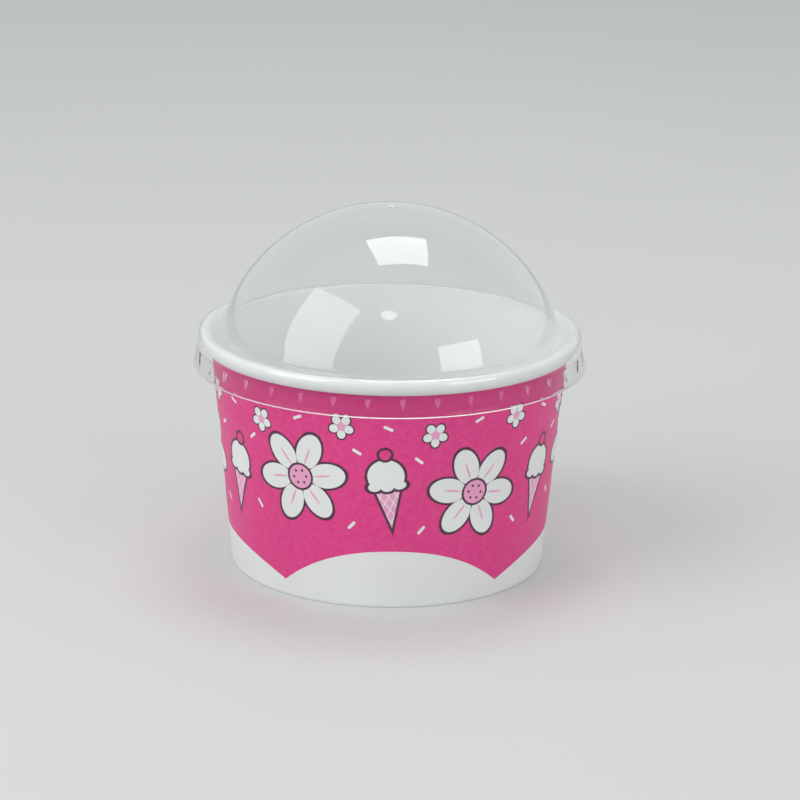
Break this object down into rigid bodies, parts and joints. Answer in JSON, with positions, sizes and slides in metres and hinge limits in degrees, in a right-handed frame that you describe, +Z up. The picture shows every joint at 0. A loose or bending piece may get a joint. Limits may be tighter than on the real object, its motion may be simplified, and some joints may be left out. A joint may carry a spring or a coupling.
{
  "type": "paper cup with dome lid",
  "caption": "Round tapered paper dessert cup with a rolled rim and a recessed base, closed by a clear plastic dome lid that lifts straight off.",
  "frame": {"origin": "centre of the foot ring, on the table", "axes": "+Z up along the cup's axis, -Y towards the picture's camera, the side seam at +Y"},
  "size_m": [0.094, 0.0938, 0.0872],
  "materials": {
    "printed_paper": "coated, printed in pink and white, satin",
    "plain_paper": "coated, white, satin",
    "clear_plastic": "clear, glossy"
  },
  "bodies": {
    "cup": {"cup_wall": "printed_paper", "cup_base": "plain_paper"},
    "lid": {"dome_lid": "clear_plastic"}
  },
  "joints": [
    {"name": "lid_lift", "type": "slide", "parent": "cup", "child": "lid", "axis": [0, 0, 1], "range_m": [0, 0.06]}
  ]
}
